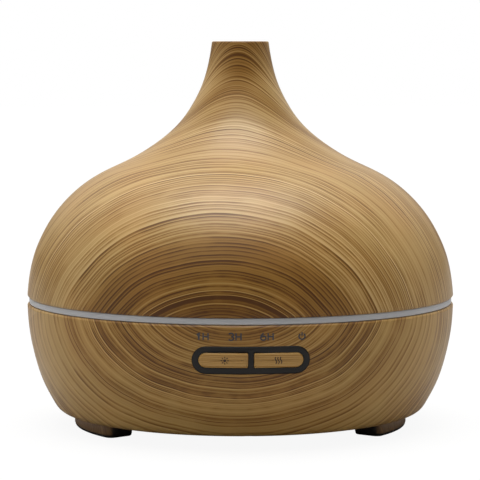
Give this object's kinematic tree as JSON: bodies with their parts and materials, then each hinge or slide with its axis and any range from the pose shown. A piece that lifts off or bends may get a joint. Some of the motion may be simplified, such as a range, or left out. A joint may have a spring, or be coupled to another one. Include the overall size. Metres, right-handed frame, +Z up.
{
  "type": "essential oil diffuser",
  "caption": "Ultrasonic essential oil diffuser with an onion-shaped wood-grain cover, light ring, water tank, push buttons and fan, on arc feet.",
  "frame": {"origin": "on the body's axis of revolution, in the plane the rubber foot pads stand on", "axes": "+Z up along the axis of revolution, -Y out of the front through the middle of the button panel, +X to the right seen from the front"},
  "size_m": [0.1672, 0.1672, 0.15],
  "materials": {
    "wood_grain": "satin water-transfer wood grain",
    "frosted": "translucent frosted",
    "clear_frost": "translucent",
    "dark_plastic": "fine texture",
    "pad_rubber": "matte",
    "bezel_black": "semi gloss",
    "white_plastic": "moulded",
    "seal_silicone": "matte",
    "steel": "machined",
    "brass": "turned",
    "aluminium": "extruded",
    "board_green": "solder mask",
    "magnet": "bonded ferrite",
    "copper_iron": "enamelled winding",
    "lamp_clear": "clear epoxy",
    "wire_sheath": "insulation"
  },
  "bodies": {
    "base": {"water_tank": "frosted", "lower_shell": "wood_grain", "bottom_cover": "dark_plastic", "feet": "wood_grain", "foot_pads": "pad_rubber", "button_bezel": "bezel_black", "button_board": "board_green", "switch_bodies": "dark_plastic", "indicator_lamps": "lamp_clear", "ultrasonic_disc": "brass", "disc_seal": "seal_silicone", "disc_clamp": "white_plastic", "fan_housing": "dark_plastic", "fan_bearing": "brass", "fan_stator": "copper_iron", "fan_duct": "white_plastic", "duct_gasket": "seal_silicone", "air_outlet_cap": "clear_frost", "main_board": "board_green", "heat_sink": "aluminium", "power_transistor": "dark_plastic", "power_inductor": "magnet", "capacitors": "aluminium", "control_chips": "dark_plastic", "board_connectors": "white_plastic", "lamp_board": "board_green", "mood_lamps": "lamp_clear", "dc_jack": "dark_plastic", "dc_jack_pin": "steel", "dc_jack_nut": "steel", "bottom_cover_screws": "steel", "tank_screws": "steel", "fan_screws": "steel", "main_board_screws": "steel", "clamp_screws": "steel", "lamp_board_screws": "steel", "button_board_screws": "steel", "power_wires": "wire_sheath", "disc_wires": "wire_sheath", "fan_wires": "wire_sheath", "button_wires": "wire_sheath", "lamp_wires": "wire_sheath"},
    "cover": {"top_cover": "wood_grain", "mist_guide": "clear_frost"},
    "light_key": {"light_button": "wood_grain"},
    "light_plunger": {"light_switch_plunger": "dark_plastic"},
    "mist_key": {"mist_button": "wood_grain"},
    "mist_plunger": {"mist_switch_plunger": "dark_plastic"},
    "rotor": {"fan_rotor": "dark_plastic", "fan_shaft": "steel", "fan_magnet": "magnet"}
  },
  "joints": [
    {"name": "cover_lift", "type": "slide", "parent": "base", "child": "cover", "axis": [0, 0, 1], "range_m": [0, 0.12]},
    {"name": "light_button_press", "type": "slide", "parent": "base", "child": "light_key", "axis": [0, 1, 0], "range_m": [0, 0.0004]},
    {"name": "light_plunger_press", "type": "slide", "parent": "base", "child": "light_plunger", "axis": [0, 1, 0], "range_m": [0, 0.0004]},
    {"name": "mist_button_press", "type": "slide", "parent": "base", "child": "mist_key", "axis": [0, 1, 0], "range_m": [0, 0.0004]},
    {"name": "mist_plunger_press", "type": "slide", "parent": "base", "child": "mist_plunger", "axis": [0, 1, 0], "range_m": [0, 0.0004]},
    {"name": "fan_spin", "type": "hinge", "parent": "base", "child": "rotor", "pos_m": [0.037, 0, 0.0135], "axis": [0, 0, 1], "continuous": true}
  ],
  "couplings": [
    {"joint": "light_plunger_press", "follows": "light_button_press", "ratio": 1},
    {"joint": "mist_plunger_press", "follows": "mist_button_press", "ratio": 1}
  ]
}
